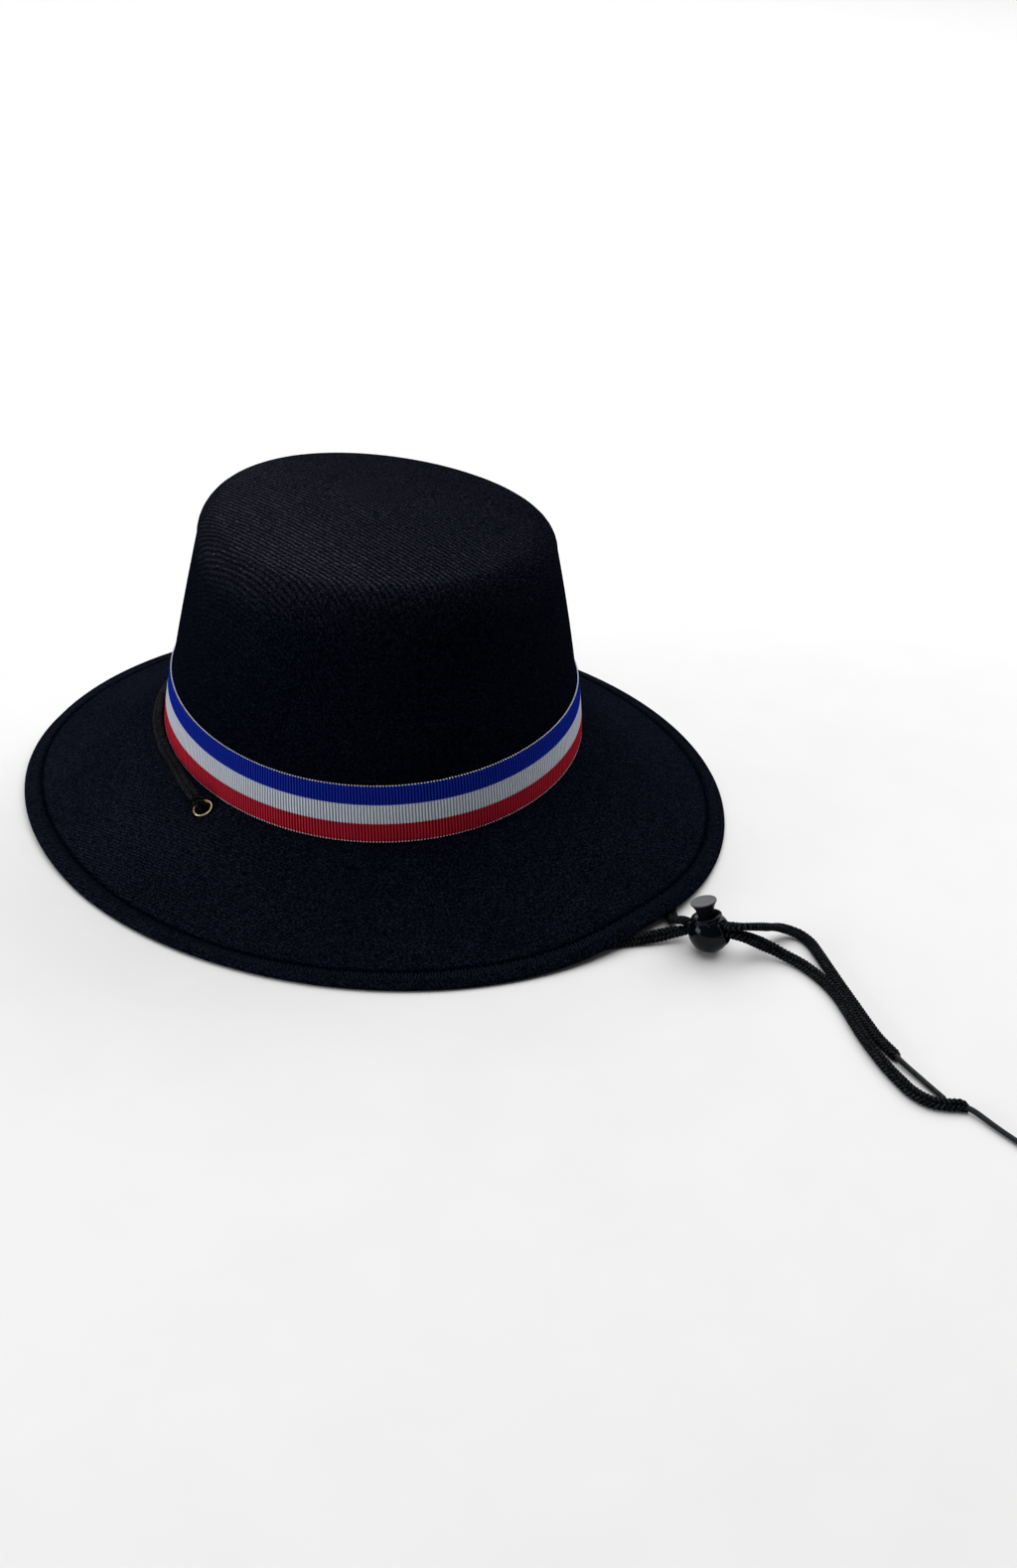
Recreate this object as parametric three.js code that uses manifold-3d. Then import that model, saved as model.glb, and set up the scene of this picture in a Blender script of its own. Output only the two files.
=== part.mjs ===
import * as THREE from 'three';
import { mergeVertices } from 'three/addons/utils/BufferGeometryUtils.js';
import Module from 'manifold-3d';

// A riding hat with a tricolour ribbon and a chin cord, standing on a table.
// Millimetres, +Z up. The origin is on the table under the middle of the brim.
// The front is -Y and the wearer's right is -X. Angles run from +X towards +Y.

// Crown, measured on the outside of the cloth
const CLOTH = 2;
const FOOT_HALF_LENGTH = 100.9;
const FOOT_HALF_WIDTH = 86.7;
const FOOT_HEIGHT = 31.6;
const TOP_HALF_LENGTH = 85.6;
const TOP_HALF_WIDTH = 71.3;
const TOP_HEIGHT = 127.8;
const TOP_EGG = -0.11;
const DOME_RISE = 4.1;
const SHOULDER_RADIUS = 10.8;
const WALL_CURVE = 1.25;

// Brim and its turned hem
const EDGE_HALF_LENGTH = 169.8;
const EDGE_HALF_WIDTH = 150.2;
const EDGE_HEIGHT = 2.3;
const HEM_SLOPE = Math.tan(THREE.MathUtils.degToRad(15.7));
const HEM_THICKNESS = 2.45;

// How the soft cloth has settled: cosine and sine height of one wave round the hat, then two, then more
const FOOT_WAVES = [[4.4, 2], [0.4, -2.5]];
const TOP_WAVES = [[1.5, 1.1]];
const EDGE_WAVES = [[0, 0.3], [0, 0], [-0.9, 0.9], [-0.35, -0.5]];
const CORD_HUMP_ANGLE = -80;
const CORD_HUMP_SPREAD = 13;
const CORD_HUMP_HEIGHT = 3.7;

// Ribbon
const RIBBON_WIDTH = 24;
const RIBBON_THICKNESS = 0.8;
const RIBBON_START = 0.6;

// Gap that touching pieces keep
const GAP = 0.3;

// Eyelets, one over each ear
const EYELET_ANGLE = -170;
const EYELET_OUT = 7.5;
const EYELET_HOLE = 3.4;
const EYELET_BARREL = 3.7;
const EYELET_FLANGE = 4.4;

// Cord, its hard tips and its lock
const CORD_RADIUS = 1.6;
const CORD_SIDES = 8;
const TIP_RADIUS = 0.95;
const BALL_RADIUS = 8.2;
const BALL_PLACE = [38.1, -187.3, 8.2];
const LOCK_HEADING = -72;
const LOCK_LEAN = 17;
const COLLAR_RADIUS = 6.1;
const COLLAR_TOP = 7.2;
const SOCKET_RADIUS = 3.75;
const SOCKET_FLOOR = -6.1;
const SHAFT_RADIUS = 3.25;
const SHAFT_FOOT = -3.6;
const BUTTON_RADIUS = 5.2;
const BUTTON_TOP = 13.4;
const BUTTON_TRAVEL = 2.2;
const HOLE_WIDTH = 4.2;
const HOLE_LOW = -3.8;
const HOLE_HIGH = 5.3;
const SLOT_WIDTH = 3.8;
const SLOT_LOW = -2;
const SLOT_HIGH = HOLE_HIGH + BUTTON_TRAVEL;

// Heights of the two strands in the lock, from the ball's middle
const LOW_STRAND = -0.1;
const HIGH_STRAND = 3.4;

const ROUND_STEPS = 60;
const SHAFT_STEPS = 24;

const wasm = await Module();
wasm.setup();

const rad = THREE.MathUtils.degToRad;
const lerp = THREE.MathUtils.lerp;

// Adds the waves of a table up at one angle
function waves(table, angle) {
  return table.reduce(
    (sum, [cosine, sine], i) => sum + cosine * Math.cos((i + 1) * angle) + sine * Math.sin((i + 1) * angle),
    0,
  );
}

// One point of an oval; a negative egg makes it narrower at the back
function ovalPoint(angle, halfLength, halfWidth, egg, height) {
  const back = Math.sin(angle);
  return new THREE.Vector3(halfWidth * Math.cos(angle) * (1 + egg * back), halfLength * back, height);
}

function footHeight(angle) {
  return FOOT_HEIGHT + waves(FOOT_WAVES, angle);
}

function shoulderHeight(angle) {
  return TOP_HEIGHT + waves(TOP_WAVES, angle);
}

// Crown wall: share 0 is its foot and share 1 is where the shoulder starts; inset moves inwards
function wallPoint(angle, share, inset) {
  const pull = share ** WALL_CURVE;
  const halfLength = lerp(FOOT_HALF_LENGTH, TOP_HALF_LENGTH, pull) - inset;
  const halfWidth = lerp(FOOT_HALF_WIDTH, TOP_HALF_WIDTH, pull) - inset;
  const height = lerp(footHeight(angle), shoulderHeight(angle) - SHOULDER_RADIUS, share);
  return ovalPoint(angle, halfLength, halfWidth, TOP_EGG * share, height);
}

// Rounded shoulder between the wall and the top
function shoulderPoint(angle, turn, inset) {
  const radius = SHOULDER_RADIUS - inset;
  const pulledIn = inset + radius * (1 - Math.cos(turn));
  const height = shoulderHeight(angle) - SHOULDER_RADIUS + radius * Math.sin(turn);
  return ovalPoint(angle, TOP_HALF_LENGTH - pulledIn, TOP_HALF_WIDTH - pulledIn, TOP_EGG, height);
}

// Low dome of the crown's top: share 1 is its rim and share 0 its middle
function domePoint(angle, share, inset) {
  const halfLength = (TOP_HALF_LENGTH - SHOULDER_RADIUS) * share;
  const halfWidth = (TOP_HALF_WIDTH - SHOULDER_RADIUS) * share;
  const tilt = share * waves(TOP_WAVES, angle);
  const height = TOP_HEIGHT + tilt + DOME_RISE * (1 - share * share) - inset;
  return ovalPoint(angle, halfLength, halfWidth, TOP_EGG, height);
}

// Top of the brim's edge, lifted a little where the cord passes below it
function edgePoint(angle) {
  const away = THREE.MathUtils.euclideanModulo(angle - rad(CORD_HUMP_ANGLE) + Math.PI, 2 * Math.PI) - Math.PI;
  const hump = CORD_HUMP_HEIGHT * Math.exp(-((away / rad(CORD_HUMP_SPREAD)) ** 2));
  return ovalPoint(angle, EDGE_HALF_LENGTH, EDGE_HALF_WIDTH, 0, EDGE_HEIGHT + waves(EDGE_WAVES, angle) + hump);
}

function brimWidth(angle) {
  const foot = wallPoint(angle, 0, 0);
  const edge = edgePoint(angle);
  return Math.hypot(edge.x - foot.x, edge.y - foot.y);
}

// Top face of the brim: share 0 is the crown's foot and share 1 the edge; steep first, flatter at the hem
function brimPoint(angle, share) {
  const foot = wallPoint(angle, 0, 0);
  const edge = edgePoint(angle);
  const drop = foot.z - edge.z;
  const bend = 1 - (HEM_SLOPE * brimWidth(angle)) / drop;
  const point = foot.clone().lerp(edge, share);
  point.z = foot.z - drop * ((1 + bend) * share - bend * share * share);
  return point;
}

function brimNormal(angle, share) {
  const step = 0.01;
  const outwards = brimPoint(angle, share + step).sub(brimPoint(angle, share - step));
  const along = brimPoint(angle + step, share).sub(brimPoint(angle - step, share));
  return outwards.cross(along).normalize();
}

// A point of the brim's skin, depth below its top face; the hem rests on the table and never sinks in
function skinPoint(angle, share, depth) {
  const point = brimPoint(angle, share);
  const normal = brimNormal(angle, share);
  const lift = Math.max(0, HEM_THICKNESS * normal.z - point.z);
  point.addScaledVector(normal, -depth);
  point.z = Math.max(0, point.z + lift);
  return point;
}

// One row of points round the hat
function row(makePoint) {
  return Array.from({ length: ROUND_STEPS }, (_, i) => makePoint((2 * Math.PI * i) / ROUND_STEPS));
}

// Skins rows of points in turn; without end points the last row joins the first
function loft(rows, ends) {
  const count = rows[0].length;
  const points = rows.flat();
  const faces = [];
  const last = ends ? rows.length - 1 : rows.length;
  for (let i = 0; i < last; i += 1) {
    const here = i * count;
    const next = ((i + 1) % rows.length) * count;
    for (let j = 0; j < count; j += 1) {
      const k = (j + 1) % count;
      faces.push(here + j, next + j, next + k, here + j, next + k, here + k);
    }
  }
  if (ends) {
    const start = points.length;
    const finish = start + 1;
    points.push(...ends);
    const lastRow = (rows.length - 1) * count;
    for (let j = 0; j < count; j += 1) {
      const k = (j + 1) % count;
      faces.push(start, j, k, lastRow + j, finish, lastRow + k);
    }
  }
  const geometry = new THREE.BufferGeometry().setFromPoints(points);
  geometry.setIndex(faces);
  return geometry;
}

// Solid of a closed geometry, for joining and cutting
function solid(geometry) {
  const plain = geometry.clone();
  plain.deleteAttribute('normal');
  plain.deleteAttribute('uv');
  const merged = mergeVertices(plain, 1e-4);
  return new wasm.Manifold(new wasm.Mesh({
    numProp: 3,
    vertProperties: new Float32Array(merged.getAttribute('position').array),
    triVerts: new Uint32Array(merged.getIndex().array),
  }));
}

function geometryOf(body) {
  const mesh = body.getMesh();
  const geometry = new THREE.BufferGeometry();
  geometry.setAttribute('position', new THREE.BufferAttribute(new Float32Array(mesh.vertProperties), 3));
  geometry.setIndex(Array.from(mesh.triVerts));
  return geometry;
}

// Hat: crown and brim are one moulded piece of cloth, hollow and open below
function hatBody() {
  const rows = [];
  for (const share of [0.3, 0.62, 0.86]) {
    rows.push(row((a) => domePoint(a, share, 0)));
  }
  for (const turn of [90, 68, 45, 22, 0]) {
    rows.push(row((a) => shoulderPoint(a, rad(turn), 0)));
  }
  for (const share of [0.8, 0.6, 0.4, 0.2, 0.005]) {
    rows.push(row((a) => wallPoint(a, share, 0)));
  }
  for (const share of [0.012, 0.04, 0.12, 0.22, 0.34, 0.48, 0.66]) {
    rows.push(row((a) => skinPoint(a, share, 0)));
  }
  // Stitched groove and hem: distance in from the edge, depth below the brim's face
  const hem = [[8.8, 0], [8, 0.5], [7.2, -0.2], [4, -0.3], [1.4, -0.1], [0.4, 0.5], [0, 1.2], [0.3, 2]];
  const under = [[0.9, HEM_THICKNESS], [3, HEM_THICKNESS], [5, HEM_THICKNESS], [7.6, HEM_THICKNESS], [8.4, CLOTH]];
  for (const [inward, depth] of [...hem, ...under]) {
    rows.push(row((a) => skinPoint(a, 1 - inward / brimWidth(a), depth)));
  }
  for (const share of [0.66, 0.48, 0.34, 0.22, 0.12, 0.03]) {
    rows.push(row((a) => skinPoint(a, share, CLOTH)));
  }
  for (const share of [0.01, 0.2, 0.4, 0.6, 0.8]) {
    rows.push(row((a) => wallPoint(a, share, CLOTH)));
  }
  for (const turn of [0, 30, 60, 90]) {
    rows.push(row((a) => shoulderPoint(a, rad(turn), CLOTH)));
  }
  for (const share of [0.8, 0.45]) {
    rows.push(row((a) => domePoint(a, share, CLOTH)));
  }
  let body = solid(loft(rows, [domePoint(0, 0, 0), domePoint(0, 0, CLOTH)]));
  for (const place of eyeletPlaces()) {
    const punch = new THREE.CylinderGeometry(EYELET_BARREL + GAP, EYELET_BARREL + GAP, 12, 24);
    punch.rotateX(Math.PI / 2);
    punch.applyMatrix4(place);
    body = body.subtract(solid(punch));
  }
  return geometryOf(body);
}

// Where the two eyelets sit: the right one, then its mirror image
function eyeletPlaces() {
  return [EYELET_ANGLE, -180 - EYELET_ANGLE].map((degrees) => {
    const angle = rad(degrees);
    const share = EYELET_OUT / brimWidth(angle);
    const turn = new THREE.Quaternion().setFromUnitVectors(
      new THREE.Vector3(0, 0, 1),
      brimNormal(angle, share),
    );
    return new THREE.Matrix4().compose(brimPoint(angle, share), turn, new THREE.Vector3(1, 1, 1));
  });
}

// Ribbon: one woven band round the crown's foot
function ribbon() {
  const wallHeight = (angle) => shoulderHeight(angle) - SHOULDER_RADIUS - footHeight(angle);
  const band = (rise, out) => row((a) => wallPoint(a, (RIBBON_START + rise) / wallHeight(a), -out));
  const inside = GAP;
  const outside = GAP + RIBBON_THICKNESS;
  return loft([
    band(RIBBON_WIDTH, outside),
    band(RIBBON_WIDTH / 2, outside),
    band(0, outside),
    band(0, inside),
    band(RIBBON_WIDTH / 2, inside),
    band(RIBBON_WIDTH, inside),
  ]);
}

// Rolled metal eyelet: a flange above the brim, a barrel through it and a flange below
function eyelet() {
  const above = 0.45;
  const below = -CLOTH - 0.45;
  const profile = [
    [EYELET_HOLE, below - 0.3],
    [EYELET_HOLE + 0.3, below - 0.6],
    [EYELET_FLANGE - 0.3, below - 0.6],
    [EYELET_FLANGE, below - 0.3],
    [EYELET_FLANGE - 0.1, below],
    [EYELET_BARREL, below],
    [EYELET_BARREL, above],
    [EYELET_FLANGE - 0.1, above],
    [EYELET_FLANGE, above + 0.3],
    [EYELET_FLANGE - 0.4, above + 0.6],
    [EYELET_HOLE + 0.2, above + 0.6],
    [EYELET_HOLE, above + 0.3],
    [EYELET_HOLE, below - 0.3],
  ];
  return turned(profile, 20);
}

// Turns a profile of radius and height round the vertical axis
function turned(profile, steps) {
  const geometry = new THREE.LatheGeometry(profile.map(([r, z]) => new THREE.Vector2(r, z)), steps);
  geometry.rotateX(Math.PI / 2);
  return geometry;
}

// A curve that puts one section of a tube at each point of its route
class RouteCurve extends THREE.CatmullRomCurve3 {
  getUtoTmapping(u) {
    return u;
  }
}

function tube(points, radius, sides) {
  const section = new THREE.Shape();
  for (let i = 0; i < sides; i += 1) {
    const angle = (2 * Math.PI * i) / sides;
    const [x, y] = [radius * Math.cos(angle), radius * Math.sin(angle)];
    if (i === 0) {
      section.moveTo(x, y);
    } else {
      section.lineTo(x, y);
    }
  }
  const path = new RouteCurve(points, false, 'centripetal');
  return new THREE.ExtrudeGeometry(section, { steps: points.length - 1, bevelEnabled: false, extrudePath: path });
}

// Cord round the back of the crown: angle, distance out from the crown's foot, height above the brim
const BACK_ROUTE = [
  [-170, 7.5, -0.8], [-170, 7.5, 2.5], [-171.5, 7, 5.2], [-175, 5.6, 5], [-180, 3.8, 3.3], [-187, 2.4, 2.4],
  [-196, 2.4, 2.2], [-210, 2.4, 2.2], [-225, 2.4, 2.2], [-240, 2.4, 2.2], [-255, 2.4, 2.2], [-270, 2.4, 2.2],
  [-285, 2.4, 2.2], [-300, 2.4, 2.2], [-315, 2.4, 2.2], [-330, 2.4, 2.2], [-344, 2.4, 2.2],
  [-353, 2.4, 2.4], [-360, 3.8, 3.3], [-365, 5.6, 5], [-368.5, 7, 5.2], [-370, 7.5, 2.5], [-370, 7.5, -0.8],
];

function backCord() {
  const points = BACK_ROUTE.map(([degrees, out, height]) => {
    const angle = rad(degrees);
    const share = out / brimWidth(angle);
    return brimPoint(angle, share).addScaledVector(brimNormal(angle, share), height);
  });
  return tube(points, CORD_RADIUS, CORD_SIDES);
}

// Chin cord from each eyelet, under the brim, through the lock and on to its end on the table.
// The points in the lock are worked out, so each route has a part before it and a part after it.
const RIGHT_BEFORE = [
  [-91.6, -18.7, 17.5], [-91.2, -19, 12.5], [-94, -21.5, 7.2], [-99.5, -27, 3.4], [-105.5, -36, 1.8],
  [-109.5, -49, 1.7], [-109, -66, 1.7], [-103, -86, 1.7], [-92.5, -105, 1.7], [-78, -121.5, 1.7],
  [-60, -135.5, 1.7], [-40, -147, 1.7], [-19, -156.5, 1.7], [1, -163.5, 1.7], [14, -168, 1.7],
  [20.5, -170.8, 1.9], [26, -173, 2.6], [30.8, -175.2, 3.9],
];
const RIGHT_AFTER = [
  [42.6, -198.4, 11.1], [45.2, -200.4, 10.2], [48.5, -201.5, 8.2], [51.9, -202.7, 6], [55, -205, 4],
  [57.6, -209.8, 2.2], [59.4, -218, 1.7],
  [59.2, -228, 1.7], [57.2, -237.5, 1.7], [53.4, -247.6, 1.7], [48.6, -258.4, 1.7], [44.6, -268.6, 1.7],
  [41.6, -278, 1.7], [39.3, -287.2, 1.7], [38.1, -295.6, 1.7], [39.6, -302.6, 1.7], [43.2, -306.8, 1.7],
  [46.4, -309.4, 1.7], [48, -312, 1.7],
];
const LEFT_BEFORE = [
  [90.2, -18.4, 25], [89.3, -18.6, 19], [90.8, -19.2, 12.5], [94.6, -21.4, 7], [100.4, -26, 3.4],
  [106.5, -34, 1.8], [110.8, -46, 1.7], [111.8, -61, 1.7], [108.6, -78, 1.7], [101, -95.5, 1.7],
  [90, -111.5, 1.7], [77, -125.5, 1.7], [64, -138, 1.7], [52, -149.5, 1.7], [42.2, -159.5, 1.7],
  [38.8, -164.6, 1.9], [36.6, -169.2, 4.2], [35.6, -173.7, 7],
];
const LEFT_AFTER = [
  [42.1, -197.3, 14.6], [44.7, -199, 14.6], [48.4, -199.6, 13.6], [54.4, -199, 11], [60.6, -197.8, 7.8],
  [66.4, -196.8, 4.9], [70.6, -198, 2.8], [73, -201.4, 1.9], [73, -207.4, 1.7], [70.6, -214.4, 1.7],
  [66.6, -224.4, 1.7], [62.4, -235, 1.7], [58.2, -246, 1.7], [54.2, -256.4, 1.7], [50.8, -266, 1.7],
  [48.2, -278.6, 1.7],
];
const RIGHT_TIP = [[48.3, -312.7, 1.6], [48.8, -324.5, 1.2], [49.4, -337, 1]];
const LEFT_TIP = [[48.1, -279, 1.6], [46.8, -291.2, 1.2], [45.6, -303.5, 1]];

const vector = ([x, y, z]) => new THREE.Vector3(x, y, z);

// Start of a chin cord, inside its eyelet just under the end of the back cord
function eyeletStart(place) {
  return [-1.1, -4].map((height) => new THREE.Vector3(0, 0, height).applyMatrix4(place));
}

// Where a strand goes in and out of the lock
function lockPoints(place, height) {
  const reach = BALL_RADIUS + 0.6;
  return [-reach, 0, reach].map((along) => new THREE.Vector3(along, 0, height).applyMatrix4(place));
}

function chinCord(start, before, inLock, after) {
  return tube([...start, ...before.map(vector), ...inLock, ...after.map(vector)], CORD_RADIUS, CORD_SIDES);
}

// Prism with round ends that runs through the lock along X
function channel(width, low, high) {
  const radius = width / 2;
  const shape = new THREE.Shape();
  shape.absarc(0, high - radius, radius, 0, Math.PI, false);
  shape.absarc(0, low + radius, radius, Math.PI, 2 * Math.PI, false);
  const geometry = new THREE.ExtrudeGeometry(shape, { depth: 24, bevelEnabled: false, curveSegments: 8 });
  geometry.translate(0, 0, -12);
  geometry.rotateX(Math.PI / 2);
  geometry.rotateZ(Math.PI / 2);
  return geometry;
}

// Ball of the lock, with a collar round its socket and a raised lip round each side hole
function lockBall() {
  const profile = [];
  const collarAngle = Math.acos(COLLAR_RADIUS / BALL_RADIUS);
  for (let i = 0; i <= 12; i += 1) {
    const angle = lerp(-Math.PI / 2, collarAngle, i / 12);
    profile.push([i === 0 ? 0 : BALL_RADIUS * Math.cos(angle), BALL_RADIUS * Math.sin(angle)]);
  }
  profile.push([COLLAR_RADIUS, COLLAR_TOP - 0.6]);
  profile.push([COLLAR_RADIUS - 0.4, COLLAR_TOP]);
  profile.push([0, COLLAR_TOP]);
  const socket = [
    [0, SOCKET_FLOOR],
    [SOCKET_RADIUS, SOCKET_FLOOR],
    [SOCKET_RADIUS, HOLE_HIGH + 0.7],
    [COLLAR_RADIUS - 1.3, COLLAR_TOP - 0.4],
    [COLLAR_RADIUS - 1.1, COLLAR_TOP + 1],
    [0, COLLAR_TOP + 1],
  ];
  const lipSphere = new THREE.SphereGeometry(BALL_RADIUS + 0.4, SHAFT_STEPS, 16);
  const lip = solid(channel(HOLE_WIDTH + 1.6, HOLE_LOW - 0.8, HOLE_HIGH + 0.8)).intersect(solid(lipSphere));
  const ball = solid(turned(profile, SHAFT_STEPS)).add(lip);
  return geometryOf(
    ball.subtract(solid(turned(socket, SHAFT_STEPS))).subtract(solid(channel(HOLE_WIDTH, HOLE_LOW, HOLE_HIGH))),
  );
}

// Waisted button of the lock, with the slot that grips both strands
function lockButton() {
  const profile = [
    [0, SHAFT_FOOT],
    [SHAFT_RADIUS, SHAFT_FOOT],
    [SHAFT_RADIUS, BUTTON_TOP - 5.4],
    [SHAFT_RADIUS + 0.2, BUTTON_TOP - 4.2],
    [SHAFT_RADIUS + 0.8, BUTTON_TOP - 2.6],
    [BUTTON_RADIUS - 0.3, BUTTON_TOP - 1.1],
    [BUTTON_RADIUS, BUTTON_TOP - 0.7],
    [BUTTON_RADIUS, BUTTON_TOP - 0.3],
    [BUTTON_RADIUS - 0.3, BUTTON_TOP],
    [0, BUTTON_TOP],
  ];
  return geometryOf(solid(turned(profile, SHAFT_STEPS)).subtract(solid(channel(SLOT_WIDTH, SLOT_LOW, SLOT_HIGH))));
}

// Materials
const material = (color, roughness, metalness = 0) => new THREE.MeshStandardMaterial({ color, roughness, metalness });
const blackCloth = material(0x181a22, 0.95);
const tricolour = material(0x2a4fa8, 0.7);
const brass = material(0xb8a06a, 0.35, 1);
const blackCord = material(0x232327, 0.9);
const glossyPlastic = material(0x0c0c0e, 0.15);
const greyPlastic = material(0x3a3b40, 0.55);

function named(name, geometry, look) {
  geometry.computeVertexNormals();
  const mesh = new THREE.Mesh(geometry, look);
  mesh.name = name;
  return mesh;
}

// Assembly
const hat = new THREE.Group();
hat.add(named('hat_body', hatBody(), blackCloth));
hat.add(named('ribbon', ribbon(), tricolour));

const [rightPlace, leftPlace] = eyeletPlaces();
for (const [name, place] of [['eyelet_right', rightPlace], ['eyelet_left', leftPlace]]) {
  const mesh = named(name, eyelet(), brass);
  mesh.applyMatrix4(place);
  hat.add(mesh);
}

const lock = new THREE.Group();
lock.position.set(...BALL_PLACE);
lock.rotation.set(0, rad(-LOCK_LEAN), rad(LOCK_HEADING), 'ZYX');
lock.add(named('cord_lock_ball', lockBall(), glossyPlastic));
lock.add(named('cord_lock_button', lockButton(), greyPlastic));
lock.updateMatrix();
hat.add(lock);

const rightLock = lockPoints(lock.matrix, LOW_STRAND);
const leftLock = lockPoints(lock.matrix, HIGH_STRAND);
hat.add(named('cord_round_crown', backCord(), blackCord));
hat.add(named('chin_cord_right', chinCord(eyeletStart(rightPlace), RIGHT_BEFORE, rightLock, RIGHT_AFTER), blackCord));
hat.add(named('chin_cord_left', chinCord(eyeletStart(leftPlace), LEFT_BEFORE, leftLock, LEFT_AFTER), blackCord));
hat.add(named('cord_tip_right', tube(RIGHT_TIP.map(vector), TIP_RADIUS, CORD_SIDES), greyPlastic));
hat.add(named('cord_tip_left', tube(LEFT_TIP.map(vector), TIP_RADIUS, CORD_SIDES), greyPlastic));

export default hat;
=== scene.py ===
import math

import bpy
import numpy as np
from mathutils import Matrix, Vector


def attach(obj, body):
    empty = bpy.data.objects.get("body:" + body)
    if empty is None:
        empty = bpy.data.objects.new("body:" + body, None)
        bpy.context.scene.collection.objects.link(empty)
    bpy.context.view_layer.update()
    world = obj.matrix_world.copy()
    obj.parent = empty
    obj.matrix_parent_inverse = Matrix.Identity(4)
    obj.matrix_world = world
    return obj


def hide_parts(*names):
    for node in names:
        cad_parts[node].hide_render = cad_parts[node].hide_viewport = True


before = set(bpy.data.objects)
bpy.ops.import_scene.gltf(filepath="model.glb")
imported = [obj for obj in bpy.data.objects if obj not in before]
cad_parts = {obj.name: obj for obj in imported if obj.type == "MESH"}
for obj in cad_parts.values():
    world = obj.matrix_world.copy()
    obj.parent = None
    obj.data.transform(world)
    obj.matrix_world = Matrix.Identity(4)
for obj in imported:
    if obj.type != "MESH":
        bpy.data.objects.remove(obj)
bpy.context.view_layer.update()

# Camera
# It stands in front of the hat on the wearer's right and looks down on it a little,
# as the photograph was taken.
bpy.ops.object.camera_add(location=(-0.3651, -0.6085, 0.3941))
camera = bpy.context.object
aim = Matrix.Identity(3)
for degrees, axis in ((-35.94, "Z"), (60.82, "X"), (1.40, "Z")):
    aim = aim @ Matrix.Rotation(math.radians(degrees), 3, axis)
camera.rotation_euler = aim.to_euler()
camera.data.lens = 41.04
camera.data.clip_start = 0.01
camera.data.clip_end = 60
bpy.context.scene.camera = camera

# Hat cloth
# The crown and the drooping brim are one piece of thick black twill, steamed over a block.
# The edge of the brim is turned under and held by a sunk line of stitching.
MM = 0.001
CLOTH = 2 * MM
FOOT_SIZE = (86.7 * MM, 100.9 * MM)
TOP_SIZE = (71.3 * MM, 85.6 * MM)
EDGE_SIZE = (150.2 * MM, 169.8 * MM)
FOOT_HEIGHT = 31.6 * MM
TOP_HEIGHT = 127.8 * MM
EDGE_HEIGHT = 2.3 * MM
SHOULDER_RADIUS = 10.8 * MM
DOME_RISE = 4.1 * MM
TOP_EGG = -0.11
WALL_CURVE = 1.25
HEM_SLOPE = math.tan(math.radians(15.7))
HEM_THICKNESS = 2.45 * MM
FOOT_WAVES = ((4.4, 2), (0.4, -2.5))
TOP_WAVES = ((1.5, 1.1),)
EDGE_WAVES = ((0, 0.3), (0, 0), (-0.9, 0.9), (-0.35, -0.5))
HUMP_HEIGHT = 3.7 * MM
HUMP_AT = math.radians(-80)
HUMP_WIDTH = math.radians(13)
SIDES = 240


def settle(waves, angle):
    """How far soft cloth has settled: cosine and sine of one wave round the hat, then of two, and so on."""
    height = 0 * angle
    for i, (cosine, sine) in enumerate(waves):
        height = height + MM * (cosine * np.cos((i + 1) * angle) + sine * np.sin((i + 1) * angle))
    return height


def oval(angle, size, egg, height):
    """A ring of half width and half length size, narrowed towards the back by egg."""
    back = np.sin(angle)
    return np.stack([size[0] * np.cos(angle) * (1 + egg * back), size[1] * back, height + 0 * angle], -1)


def foot_height(angle):
    return FOOT_HEIGHT + settle(FOOT_WAVES, angle)


def shoulder_height(angle):
    return TOP_HEIGHT + settle(TOP_WAVES, angle)


def wall_point(angle, share, inset):
    pull = share ** WALL_CURVE
    size = [foot + (top - foot) * pull - inset for foot, top in zip(FOOT_SIZE, TOP_SIZE)]
    low, high = foot_height(angle), shoulder_height(angle) - SHOULDER_RADIUS
    return oval(angle, size, TOP_EGG * share, low + (high - low) * share)


def shoulder_point(angle, turn, inset):
    radius = SHOULDER_RADIUS - inset
    pulled_in = inset + radius * (1 - math.cos(turn))
    height = shoulder_height(angle) - SHOULDER_RADIUS + radius * math.sin(turn)
    return oval(angle, [top - pulled_in for top in TOP_SIZE], TOP_EGG, height)


def dome_point(angle, share, inset):
    size = [(top - SHOULDER_RADIUS) * share for top in TOP_SIZE]
    tilt = share * settle(TOP_WAVES, angle)
    return oval(angle, size, TOP_EGG, TOP_HEIGHT + tilt + DOME_RISE * (1 - share * share) - inset)


def edge_point(angle):
    away = (angle - HUMP_AT + math.pi) % (2 * math.pi) - math.pi
    hump = HUMP_HEIGHT * np.exp(-((away / HUMP_WIDTH) ** 2))
    return oval(angle, EDGE_SIZE, 0, EDGE_HEIGHT + settle(EDGE_WAVES, angle) + hump)


def brim_width(angle):
    across = edge_point(angle) - wall_point(angle, 0, 0)
    return np.hypot(across[..., 0], across[..., 1])


def brim_point(angle, share):
    foot, edge = wall_point(angle, 0, 0), edge_point(angle)
    share = share + 0 * angle
    drop = foot[..., 2] - edge[..., 2]
    bend = 1 - HEM_SLOPE * brim_width(angle) / drop
    point = foot + (edge - foot) * share[..., None]
    point[..., 2] = foot[..., 2] - drop * ((1 + bend) * share - bend * share * share)
    return point


def brim_normal(angle, share):
    step = 0.01
    outwards = brim_point(angle, share + step) - brim_point(angle, share - step)
    along = brim_point(angle + step, share) - brim_point(angle - step, share)
    normal = np.cross(outwards, along)
    return normal / np.linalg.norm(normal, axis=-1, keepdims=True)


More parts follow.
